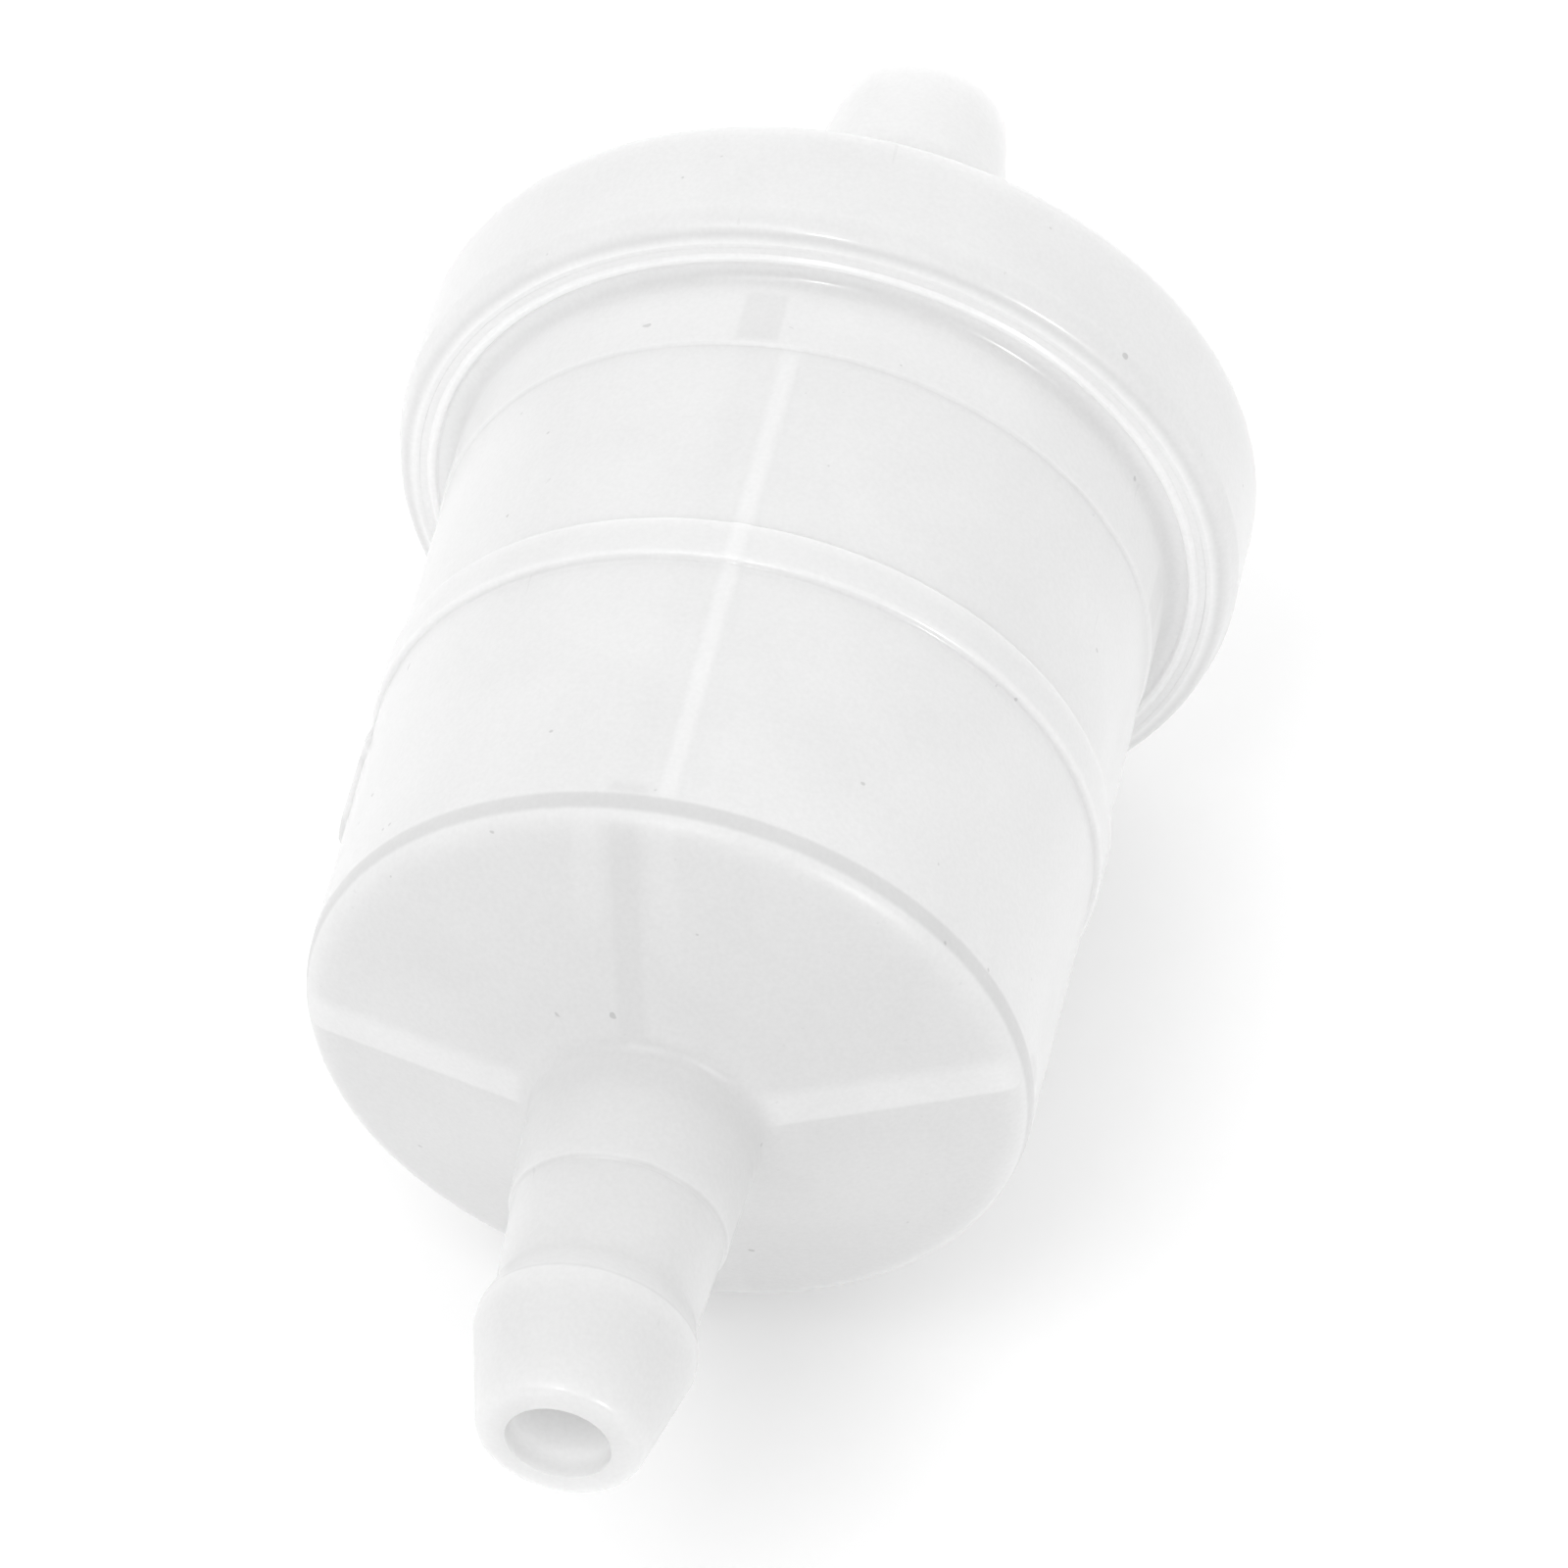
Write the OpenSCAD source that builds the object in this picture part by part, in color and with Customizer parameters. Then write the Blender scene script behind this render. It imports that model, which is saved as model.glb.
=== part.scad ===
// In-line fuel filter for a small engine, with 1/4 inch hose barbs at both ends.
// The filter's axis lies along Y. Fuel enters at -Y, through the bowl, and leaves at +Y, through the cap.
// The origin is the middle of the filter: half its length, on its axis.

/* [Bowl] */
// Outside diameter of the bowl at its inlet edge
body_d = 28; // [27:0.2:28.4]
// Outside diameter of the bowl above its middle band
neck_d = 28.5; // [28.2:0.1:28.8]
// Wall thickness of the bowl and the cap
wall = 1.3; // [1.1:0.1:1.4]
// Length of the bowl from its inlet edge to the face of its lip
bowl_len = 26.5; // [26:0.1:28]
// Slope of the bowl's inlet cone
cone_angle = 18.5; // [18:0.5:19.5]
// Outside radius of the edge between the cone and the side wall
edge_r = 1.4; // [1.2:0.1:1.5]
// Diameter of the bowl's lip, which the cap holds
lip_d = 31.6; // [31:0.1:31.8]
// Height of the middle band above the wall
band_h = 0.25; // [0.15:0.05:0.4]
// Height of the raised flow arrow
arrow_h = 0.18; // [0.1:0.02:0.2]

/* [Webs and ribs] */
// Thickness of the four webs on the cone's floor
web_t = 1.1; // [0.8:0.1:1.4]
// Angle of the first web from the filter's side
web_turn = 6; // [0:1:20]
// Width of the lugs at the top of the ribs
lug_w = 1.6; // [1.2:0.1:2.2]

/* [Hose barbs] */
// Diameter of the fuel bore
bore_d = 4; // [3.4:0.1:4.2]
// Diameter of the inlet barb's crest
barb_d = 8.4; // [8.2:0.1:9]
// Diameter of the outlet barb's crest
outlet_barb_d = 8.4; // [8.2:0.1:9]
// Diameter of the stem behind the barb
stem_d = 7.6; // [7.2:0.1:7.8]
// Diameter of the inlet barb's tip
tip_d = 6.2; // [6:0.1:6.8]
// Diameter of the outlet barb's tip
outlet_tip_d = 6.8; // [6:0.1:7]
// Length of each hose barb, from its root to its tip
nipple_len = 15.3; // [14:0.1:18]

/* [Cap] */
// Outside diameter of the cap's skirt
flange_d = 33.8; // [33.6:0.1:36]
// Height of the cap's skirt
flange_h = 5.9; // [5.4:0.1:6.5]
// Rise of the cap's outer face, from its rim to the outlet barb
cap_rise = 2.1; // [1.5:0.1:3]

/* [Filter element] */
// Number of pleats in the paper
pleats = 24; // [18:1:28]
// Outside diameter of the pleated paper
paper_d = 21.2; // [20:0.2:21.6]
// Thickness of the paper
paper_t = 0.5; // [0.3:0.05:0.6]
// Outside diameter of the core tube
core_d = 10.4; // [9.6:0.2:11]
// Diameter of the holes in the core tube
core_hole_d = 1.6; // [1.2:0.1:2]

/* [Hidden] */

$fn = 96;
FILLET_STEPS = 6;
// How far a shape bites into the one it joins, and how far a cutter stands past what it cuts
SINK = 0.2;
OVER = 1;

milk = [0.93, 0.93, 0.92];
milk_cap = [0.9, 0.9, 0.89];
paper_tint = [0.86, 0.8, 0.66];
glue_tint = [0.85, 0.72, 0.45];
plate_tint = [0.78, 0.8, 0.82];
rubber_tint = [0.12, 0.12, 0.12];

body_r = body_d / 2;
neck_r = neck_d / 2;
lip_r = lip_d / 2;
flange_r = flange_d / 2;

// Hose barb: how far its features lie behind its tip, and how its stem widens towards the root
bore_r = bore_d / 2;
tip_edge = 0.5;
tip_bevel = 0.15;
crest_depth = 4.5;
crest_w = 0.5;
crest_fall = 1.3;
step_depth = 10.2;
step_w = 0.2;
stem_r = stem_d / 2;
stem_taper = 0.25;
stem_step = 0.15;
stem_root_r = stem_r + 0.65;
root_taper = 0.1;
root_flare_h = 0.45;
root_flare_w = 0.35;

// Heights are measured along the axis from the bowl's inlet edge, positive towards the outlet.
cone_slope = tan(cone_angle);
cone_outer_r = body_r - edge_r * (1 - sin(cone_angle));
cone_edge_h = -edge_r * cos(cone_angle);
cone_top_h = cone_edge_h - (cone_outer_r - stem_root_r) * cone_slope;
inlet_tip_h = cone_top_h - nipple_len;
cap_rim_h = bowl_len + flange_h;
cap_top_h = cap_rim_h + cap_rise;
outlet_tip_h = cap_top_h + nipple_len;
middle_h = (inlet_tip_h + outlet_tip_h) / 2;

// Inside of the bowl
body_in_r = body_r - wall;
neck_in_r = neck_r - wall;
floor_shift = wall / cos(cone_angle);
floor_drop = 0.25;
floor_edge_h = cone_edge_h + floor_shift - floor_drop;
floor_edge_w = 0.35;
floor_edge_r = body_in_r - floor_edge_w;
wall_foot_h = 0.4;
floor_mouth_h = floor_edge_h - (floor_edge_r - bore_r) * cone_slope;
band_low_h = 0.445 * bowl_len;
band_w = 1.7;
band_slope_h = 0.3;
band_top_r = neck_r + band_h * 0.7;
draft = 0.12;
neck_step = 0.1;
neck_step_h = 0.15;
neck_low_h = 0.863 * bowl_len;
lip_t = 1.5;
lip_bevel = 0.15;
seat_h = bowl_len + lip_t;
root_fillet_r = 1.2;
arrow_mid_h = 13.4;
arrow_turn = 172;

// Filter element, from the inlet end to the outlet end
web_top_h = 2.2;
plate_t = 1.2;
plate_r = 11.2;
plate_rim_t = 0.35;
plate_rim_h = 1.2;
plate_edge = 0.3;
glue_t = 0.8;
rib_gap = 0.45;
lug_gap = 0.25;
lug_h = 2.8;
lug_rise = 0.1;
lug_low_h = bowl_len - lug_h + lug_rise;
core_low_h = web_top_h + plate_t;
paper_low_h = core_low_h + glue_t;
open_plate_h = lug_low_h;
paper_high_h = open_plate_h - glue_t;
core_r = core_d / 2;
core_wall = 0.7;
core_high_h = open_plate_h + plate_t;
paper_out_r = paper_d / 2;
paper_gap = 0.35;
paper_in_r = core_r + paper_gap;
fold_in_r = paper_in_r + paper_t;
gasket_t = 1.2;
gasket_w = 2.3;
gasket_r = core_r + gasket_w;
gasket_gap = 0.15;
boss_low_h = core_high_h + gasket_t;

// Inside of the cap
spigot_gap = 0.1;
spigot_r = core_r - core_wall - spigot_gap;
spigot_len = 1.6;
spigot_low_h = core_high_h - spigot_len;
cap_in_h = cap_rim_h - wall;
skirt_gap = 0.05;
plug_gap = 0.1;
plug_wall = 1;

// Points of an arc from angle a0 to a1 about centre c
function arc(c, r, a0, a1, n = FILLET_STEPS) =
    [for (i = [0 : n]) c + r * [cos(a0 + (a1 - a0) * i / n), sin(a0 + (a1 - a0) * i / n)]];

// Outline of a hose barb from its tip to its root. dir is -1 for a barb that points to the inlet side.
function barb_outline(tip_h, tip_r, crest_r, dir) = [
    for (point = [
        [bore_r, 0],
        [tip_r - tip_edge, 0],
        [tip_r - tip_bevel, tip_bevel],
        [tip_r, tip_edge],
        [crest_r, crest_depth],
        [crest_r, crest_depth + crest_w],
        [stem_r, crest_depth + crest_w + crest_fall],
        [stem_r + stem_taper, step_depth],
        [stem_r + stem_taper + stem_step, step_depth + step_w],
        [stem_root_r - root_taper, nipple_len - root_flare_h],
        [stem_root_r + root_flare_w, nipple_len]
    ]) [point[0], tip_h - dir * point[1]]
];

// Turns and shifts axis-upright shapes into the part's frame
module placed() {
    rotate([-90, 0, 0])
        translate([0, 0, -middle_h])
            children();
}

module lathe(outline) {
    rotate_extrude()
        polygon(outline);
}

module ring(r_in, r_out, low, high) {
    translate([0, 0, low])
        difference() {
            cylinder(r = r_out, h = high - low);
            translate([0, 0, -OVER])
                cylinder(r = r_in, h = high - low + 2 * OVER);
        }
}

// Places children at the four webs' angles about the axis
module at_webs() {
    for (turn = [0 : 90 : 270])
        rotate([0, 0, -web_turn - turn])
            children();
}

// ---- Bowl ----

module bowl_shell() {
    outside = concat(
        barb_outline(inlet_tip_h, tip_d / 2, barb_d / 2, -1),
        [[cone_outer_r, cone_edge_h]],
        arc([body_r - edge_r, 0], edge_r, -90 + cone_angle, 0),
        [
            [body_r + draft, band_low_h - band_slope_h],
            [body_r + draft + band_h, band_low_h],
            [band_top_r, band_low_h + band_w],
            [neck_r - neck_step, band_low_h + band_w + band_slope_h],
            [neck_r - neck_step, neck_low_h],
            [neck_r, neck_low_h + neck_step_h]
        ],
        arc([neck_r + root_fillet_r, bowl_len - root_fillet_r], root_fillet_r, 180, 90),
        [
            [lip_r - lip_bevel, bowl_len],
            [lip_r, bowl_len + lip_bevel],
            [lip_r, seat_h]
        ]
    );
    inside = [
        [neck_in_r, seat_h],
        [neck_in_r, neck_low_h],
        [body_in_r, wall_foot_h],
        [floor_edge_r, floor_edge_h],
        [bore_r, floor_mouth_h]
    ];
    lathe(concat(outside, inside));
}

// Space inside the bowl below the element, grown a little so that the webs bite into the wall
module bowl_space() {
    web_in_r = bore_r + 0.4;
    lathe([
        [web_in_r, floor_mouth_h - SINK],
        [floor_edge_r + SINK, floor_edge_h - SINK],
        [body_in_r + SINK, wall_foot_h],
        [body_in_r + SINK, web_top_h],
        [web_in_r, web_top_h]
    ]);
}

module floor_webs() {
    intersection() {
        bowl_space();
        at_webs()
            translate([0, -web_t / 2, floor_mouth_h - OVER])
                cube([body_r, web_t, web_top_h - floor_mouth_h + OVER]);
    }
}

module wall_ribs() {
    rib_t = 0.8;
    rib_in_r = plate_r + rib_gap;
    lug_in_r = plate_r + lug_gap;
    out_r = neck_in_r + SINK;
    at_webs()
        translate([rib_in_r, -rib_t / 2, web_top_h - SINK])
            cube([out_r - rib_in_r, rib_t, lug_low_h - web_top_h + 2 * SINK]);
    at_webs()
        translate([lug_in_r, -lug_w / 2, lug_low_h])
            cube([out_r - lug_in_r, lug_w, lug_h]);
}

// Raised witness lines where the two halves of the mould meet
module parting_lines() {
    line_w = 0.45;
    low_rise = 0.12;
    high_rise = 0.07;
    line_in_r = body_in_r + 0.5;
    line_len = neck_low_h - 0.6;
    for (side = [-90, 90])
        rotate([0, 0, side])
            intersection() {
                translate([line_in_r, -line_w / 2, 0])
                    cube([wall, line_w, line_len]);
                cylinder(r1 = body_r + low_rise, r2 = neck_r + high_rise, h = neck_low_h);
            }
}

// Raised flow arrow, with its head towards the outlet, trimmed to the body's curve
module flow_arrow() {
    shaft_w = 1.8;
    head_w = 4.4;
    tail = -7.4;
    head_low = -4.6;
    point = -2;
    root_depth = 0.8;
    rotate([0, 0, -arrow_turn])
        intersection() {
            translate([body_r - root_depth, 0, arrow_mid_h])
                rotate([90, 0, 90])
                    linear_extrude(root_depth + OVER)
                        polygon([
                            [-shaft_w / 2, tail],
                            [shaft_w / 2, tail],
                            [shaft_w / 2, head_low],
                            [head_w / 2, head_low],
                            [0, point],
                            [-head_w / 2, head_low],
                            [-shaft_w / 2, head_low]
                        ]);
            cylinder(r = body_r + draft + arrow_h, h = bowl_len);
        }
}

module bowl() {
    color(milk)
        placed() {
            difference() {
                union() {
                    bowl_shell();
                    parting_lines();
                    flow_arrow();
                }
                translate([0, 0, inlet_tip_h - OVER])
                    cylinder(r = bore_r, h = floor_mouth_h - inlet_tip_h + 2 * OVER);
            }
            floor_webs();
            wall_ribs();
        }
}

// ---- Cap ----

module cap() {
    skirt_in_r = lip_r + skirt_gap;
    plug_r = neck_in_r - plug_gap;
    plug_in_r = plug_r - plug_wall;
    plug_low_h = bowl_len + 0.4;
    plug_bevel = 0.2;
    spigot_bevel = 0.3;
    edge = 0.7;
    rim_edge = 1;
    boss_r = gasket_r - 0.1;
    outside = concat(
        [
            [skirt_in_r + lip_bevel, bowl_len],
            [flange_r - edge, bowl_len]
        ],
        arc([flange_r - edge, bowl_len + edge], edge, -90, 0),
        arc([flange_r - rim_edge, cap_rim_h - rim_edge], rim_edge, 0, 80)
    );
    outlet = barb_outline(outlet_tip_h, outlet_tip_d / 2, outlet_barb_d / 2, 1);
    inside = [
        [bore_r, spigot_low_h],
        [spigot_r - spigot_bevel, spigot_low_h],
        [spigot_r, spigot_low_h + spigot_bevel],
        [spigot_r, boss_low_h],
        [boss_r, boss_low_h],
        [boss_r, cap_in_h],
        [plug_in_r, cap_in_h],
        [plug_in_r, plug_low_h],
        [plug_r - plug_bevel, plug_low_h],
        [plug_r, plug_low_h + plug_bevel],
        [plug_r, seat_h],
        [skirt_in_r, seat_h],
        [skirt_in_r, bowl_len + lip_bevel]
    ];
    outlet_down = [for (i = [len(outlet) - 1 : -1 : 0]) outlet[i]];
    color(milk_cap)
        placed()
            lathe(concat(outside, outlet_down, inside));
}

// ---- Filter element ----

// Zigzag of the pleated paper: alternating inner and outer folds
module zigzag(out_r, in_r) {
    polygon([
        for (i = [0 : 2 * pleats - 1])
            let (fold_r = i % 2 == 0 ? out_r : in_r, turn = 180 * i / pleats)
                fold_r * [cos(turn), sin(turn)]
    ]);
}

module pleated_paper() {
    color(paper_tint)
        placed()
            translate([0, 0, paper_low_h])
                linear_extrude(paper_high_h - paper_low_h)
                    difference() {
                        zigzag(paper_out_r, fold_in_r);
                        zigzag(paper_out_r - 3 * paper_t, paper_in_r);
                    }
}

// Folded strip that clips over one outer fold and closes the paper's overlap
module paper_seam() {
    strip_t = 0.35;
    strip_w = 2.2;
    half_turn = 180 / pleats;
    along = fold_in_r * [cos(half_turn), sin(half_turn)] - [paper_out_r, 0];
    side = along / norm(along);
    out = [side[1], -side[0]] * strip_t;
    foot = [paper_out_r, 0] + side * strip_w;
    mirror_y = [[1, 0], [0, -1]];
    color(glue_tint)
        placed()
            translate([0, 0, paper_low_h])
                linear_extrude(paper_high_h - paper_low_h)
                    polygon([
                        [paper_out_r, 0],
                        foot,
                        foot + out,
                        [paper_out_r + strip_t, strip_t],
                        [paper_out_r + strip_t, -strip_t],
                        mirror_y * (foot + out),
                        mirror_y * foot
                    ]);
}

module core_tube() {
    rows = 7;
    holes = 8;
    pitch = (paper_high_h - paper_low_h) / rows;
    color(plate_tint)
        placed()
            difference() {
                ring(core_r - core_wall, core_r, core_low_h, core_high_h);
                for (row = [0 : rows - 1])
                    for (hole = [0 : holes / 2 - 1])
                        translate([0, 0, paper_low_h + (row + 0.5) * pitch])
                            rotate([90, 0, (hole + row % 2 / 2) * 360 / holes])
                                cylinder(d = core_hole_d, h = core_d + OVER, center = true, $fn = 24);
            }
}

module closed_end_plate() {
    color(plate_tint)
        placed()
            lathe([
                [0, web_top_h],
                [plate_r - plate_edge, web_top_h],
                [plate_r, web_top_h + plate_edge],
                [plate_r, core_low_h + plate_rim_h],
                [plate_r - plate_rim_t, core_low_h + plate_rim_h],
                [plate_r - plate_rim_t, core_low_h],
                [0, core_low_h]
            ]);
}

module open_end_plate() {
    color(plate_tint)
        placed()
            lathe([
                [core_r, open_plate_h],
                [plate_r - plate_rim_t, open_plate_h],
                [plate_r - plate_rim_t, open_plate_h - plate_rim_h],
                [plate_r, open_plate_h - plate_rim_h],
                [plate_r, core_high_h - plate_edge],
                [plate_r - plate_edge, core_high_h],
                [core_r, core_high_h]
            ]);
}

module end_glue(low) {
    color(glue_tint)
        placed()
            ring(core_r, plate_r - plate_rim_t, low, low + glue_t);
}

module inlet_end_glue() {
    end_glue(core_low_h);
}

module outlet_end_glue() {
    end_glue(paper_high_h);
}

module outlet_gasket() {
    gasket_in_r = spigot_r + gasket_gap;
    edge = 0.2;
    color(rubber_tint)
        placed()
            lathe([
                [gasket_in_r, core_high_h],
                [gasket_r - edge, core_high_h],
                [gasket_r, core_high_h + edge],
                [gasket_r, boss_low_h - edge],
                [gasket_r - edge, boss_low_h],
                [gasket_in_r, boss_low_h]
            ]);
}

bowl();
cap();
pleated_paper();
paper_seam();
core_tube();
closed_end_plate();
open_end_plate();
inlet_end_glue();
outlet_end_glue();
outlet_gasket();
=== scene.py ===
"""In-line fuel filter: a milky plastic bowl and cap, each with a hose barb, round a pleated paper element.

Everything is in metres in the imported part's frame: the filter's axis lies along Y, inlet at -Y, outlet at +Y.
"""

import math

import bmesh
import bpy
from mathutils import Matrix, Vector, noise


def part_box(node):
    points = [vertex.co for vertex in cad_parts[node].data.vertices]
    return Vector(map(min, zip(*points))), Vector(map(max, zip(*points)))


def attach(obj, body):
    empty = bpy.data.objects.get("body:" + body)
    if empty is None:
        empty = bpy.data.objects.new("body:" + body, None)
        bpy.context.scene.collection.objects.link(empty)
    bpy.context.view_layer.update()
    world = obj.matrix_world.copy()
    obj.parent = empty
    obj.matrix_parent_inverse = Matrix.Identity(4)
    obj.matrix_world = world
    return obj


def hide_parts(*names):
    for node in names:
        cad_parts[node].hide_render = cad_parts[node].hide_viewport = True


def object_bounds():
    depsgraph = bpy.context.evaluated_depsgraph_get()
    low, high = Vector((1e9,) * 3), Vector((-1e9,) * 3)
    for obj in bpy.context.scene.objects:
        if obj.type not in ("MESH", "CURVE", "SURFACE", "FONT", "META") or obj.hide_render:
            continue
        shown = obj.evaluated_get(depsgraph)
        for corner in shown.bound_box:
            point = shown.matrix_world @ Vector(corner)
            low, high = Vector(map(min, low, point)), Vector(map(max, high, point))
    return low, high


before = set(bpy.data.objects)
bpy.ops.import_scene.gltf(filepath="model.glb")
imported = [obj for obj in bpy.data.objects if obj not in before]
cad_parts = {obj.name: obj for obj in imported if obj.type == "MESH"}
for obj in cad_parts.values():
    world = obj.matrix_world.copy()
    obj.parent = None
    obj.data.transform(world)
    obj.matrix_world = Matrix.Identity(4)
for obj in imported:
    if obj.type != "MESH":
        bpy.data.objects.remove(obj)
cad_low, cad_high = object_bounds()

MM = 0.001

# ---------------------------------------------------------------- sizes, from the frame where it has them

bowl_low, bowl_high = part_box("bowl")
cap_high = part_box("cap")[1]

INLET_TIP = bowl_low.y
OUTLET_TIP = cap_high.y
SEAT = bowl_high.y
LIP_R = bowl_high.x
FLANGE_R = cap_high.x
LIP_T = 1.5 * MM
LIP_FACE = SEAT - LIP_T
BOWL_LEN = 26.5 * MM
EDGE = LIP_FACE - BOWL_LEN
FLANGE_H = 5.9 * MM
CAP_RIM = LIP_FACE + FLANGE_H

WALL = 1.3 * MM
BODY_R = 14.0 * MM
NECK_R = 14.25 * MM
DRAFT = 0.12 * MM
BAND_H = 0.25 * MM
BAND_LOW = EDGE + 0.445 * BOWL_LEN
BAND_W = 1.7 * MM
BAND_TOP = BAND_LOW + BAND_W
NECK_LOW = EDGE + 0.863 * BOWL_LEN
BODY_IN_R = BODY_R - WALL
NECK_IN_R = NECK_R - WALL
CONE_SLOPE = math.tan(math.radians(18.5))
CONE_CORNER = EDGE - 1.08 * MM  # where the cone and the wall would meet without their fillet
FLOOR_EDGE = EDGE - 0.21 * MM

BORE_R = 2.0 * MM
STEM_R = 3.8 * MM
STEM_ROOT_R = STEM_R + 0.65 * MM
INLET_TIP_R = 3.1 * MM
OUTLET_TIP_R = 3.4 * MM
BARB_R = 4.2 * MM
NIPPLE_LEN = 15.3 * MM

PLATE_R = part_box("open_end_plate")[1].x
WEB_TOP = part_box("closed_end_plate")[0].y
LUG_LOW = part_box("outlet_end_glue")[1].y
LUG_HIGH = LUG_LOW + 2.8 * MM
LUG_RISE = 0.2 * MM
WEB_T = 1.1 * MM
RIB_T = 0.8 * MM
LUG_W = 1.6 * MM
RIB_IN_R = PLATE_R + 0.45 * MM
SINK = 0.2 * MM  # how far one solid reaches into the next where they are joined
WEB_TURN = 6


# ---------------------------------------------------------------- mesh helpers

# The share of the straight beside a corner that its fillet may take. It is larger for a big fillet whose
# next corner is nearly sharp, as on the cone's edge.
REACH = 0.45
LONG_REACH = 0.8
BIG_FILLET = 0.6 * MM
SMALL_FILLET = 0.1 * MM
LEAST_BEND = math.radians(2)
DEGREES_PER_STEP = 9
LONGEST_FACE = 0.5 * MM
RING_STEP = 1.5


def piece_from(bm, name):
    """A new object in the scene, made from a bmesh and using it up."""
    mesh = bpy.data.meshes.new(name)
    bm.to_mesh(mesh)
    bm.free()
    piece = bpy.data.objects.new(name, mesh)
    bpy.context.scene.collection.objects.link(piece)
    return piece


def rounded(corners):
    """Points of an outline whose corners (r, y, fillet radius) are rounded where the radius isn't 0."""
    points = []
    for i, (r, y, fillet) in enumerate(corners):
        here = Vector((r, y))
        if fillet <= 0 or i in (0, len(corners) - 1):
            points.append(here)
            continue
        back = Vector(corners[i - 1][:2]) - here
        ahead = Vector(corners[i + 1][:2]) - here
        bend = math.pi - back.angle(ahead)
        if bend < LEAST_BEND:
            points.append(here)
            continue
        share = LONG_REACH if fillet > BIG_FILLET and corners[i + 1][2] <= SMALL_FILLET else REACH
        reach = min(fillet * math.tan(bend / 2), back.length * REACH, ahead.length * share)
        start, end = here + back.normalized() * reach, here + ahead.normalized() * reach
        steps = max(3, int(math.degrees(bend) / DEGREES_PER_STEP))
        for k in range(steps + 1):
            t = k / steps
            points.append((1 - t) ** 2 * start + 2 * t * (1 - t) * here + t * t * end)
    return points


def resampled(points, longest):
    """The same outline with no stretch longer than longest."""
    out = [points[0]]
    for a, b in zip(points, points[1:]):
        n = max(1, math.ceil((b - a).length / longest))
        out.extend(a.lerp(b, k / n) for k in range(1, n + 1))
    return out


def turned(name, outline, angles, shift=None):
    """A closed ring of revolution about Y. shift(angle, r, y) moves a point outwards."""
    bm = bmesh.new()
    rings = []
    for angle in angles:
        c, s = math.cos(angle), math.sin(angle)
        ring = []
        for p in outline:
            r = p.x + (shift(angle, p.x, p.y) if shift else 0)
            ring.append(bm.verts.new((r * c, p.y, r * s)))
        rings.append(ring)
    count = len(outline)
    for ring, after in zip(rings, rings[1:] + rings[:1]):
        for k in range(count):
            j = (k + 1) % count
            bm.faces.new((ring[k], ring[j], after[j], after[k]))
    bmesh.ops.recalc_face_normals(bm, faces=bm.faces)
    return piece_from(bm, name)


LEAST_ANGLE = 0.05


def angle_list(step, fine):
    """Angles round the axis in even steps, with finer ones in each (middle, half width, step) of fine."""
    angles = {round(k * step, 3) for k in range(int(360 / step))}
    for middle, half, fine_step in fine:
        count = int(2 * half / fine_step)
        angles |= {round((middle - half + k * fine_step) % 360, 3) for k in range(count + 1)}
    kept = []
    for angle in sorted(angles):
        if not kept or angle - kept[-1] > LEAST_ANGLE:
            kept.append(angle)
    return [math.radians(angle) for angle in kept]


def prism(name, outline, thickness, turn):
    """A flat plate in the plane of the axis, given in (r, y) and turned about Y."""
    bm = bmesh.new()
    sides = []
    for z in (-thickness / 2, thickness / 2):
        sides.append([bm.verts.new((r, y, z)) for r, y in outline])
    bm.faces.new(sides[0])
    bm.faces.new(reversed(sides[1]))
    count = len(outline)
    for k in range(count):
        j = (k + 1) % count
        bm.faces.new((sides[0][k], sides[1][k], sides[1][j], sides[0][j]))
    bmesh.ops.rotate(bm, verts=bm.verts, matrix=Matrix.Rotation(-math.radians(turn), 3, "Y"))
    bmesh.ops.recalc_face_normals(bm, faces=bm.faces)
    return piece_from(bm, name)


def join_solids(base, others):
    """Unites the others with base, and removes them."""
    for other in others:
        union = base.modifiers.new("union", "BOOLEAN")
        union.operation = "UNION"
        union.solver = "MANIFOLD"
        union.object = other
    bpy.context.view_layer.update()
    done = bpy.data.meshes.new_from_object(base.evaluated_get(bpy.context.evaluated_depsgraph_get()))
    base.modifiers.clear()
    base.data = done
    for other in others:
        bpy.data.objects.remove(other)
    return base


def smooth(piece, sharp_above=38):
    """Smooth shading, with edges that bend by more than sharp_above degrees left sharp."""
    piece.data.shade_smooth()
    piece.data.set_sharp_from_angle(angle=math.radians(sharp_above))


def ease(t):
    """A smooth step from 0 to 1 as t goes from 0 to 1."""
    t = min(1, max(0, t))
    return t * t * (3 - 2 * t)


def turn_from(angle, middle):
    """Angle from middle (in degrees), in radians between -pi and pi."""
    return (angle - math.radians(middle) + math.pi) % (2 * math.pi) - math.pi


# ---------------------------------------------------------------- bowl

# A barb's places along its length, as depths behind its tip in millimetres.
CREST_START = 4.5
CREST_END = 5.0
STEM_START = 6.3
STEM_RING = 10.2
STEM_RING_W = 0.2


def barb_corners(tip, tip_r, tip_edge, out):
    """Outline corners of a hose barb, from its tip to its root; out is +1 or -1, the way it points along Y."""
    def at(depth):
        return tip - out * depth * MM
    return [
        (BORE_R, at(0), 0.25 * MM),
        (tip_r, at(0), tip_edge),
        (BARB_R, at(CREST_START), 0.35 * MM),
        (BARB_R, at(CREST_END), 0.3 * MM),
        (STEM_R, at(STEM_START), 1.0 * MM),
        (STEM_R + 0.25 * MM, at(STEM_RING), SMALL_FILLET),
        (STEM_R + 0.4 * MM, at(STEM_RING + STEM_RING_W), SMALL_FILLET),
        (STEM_ROOT_R, at(NIPPLE_LEN / MM), 0.7 * MM),
    ]


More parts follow.
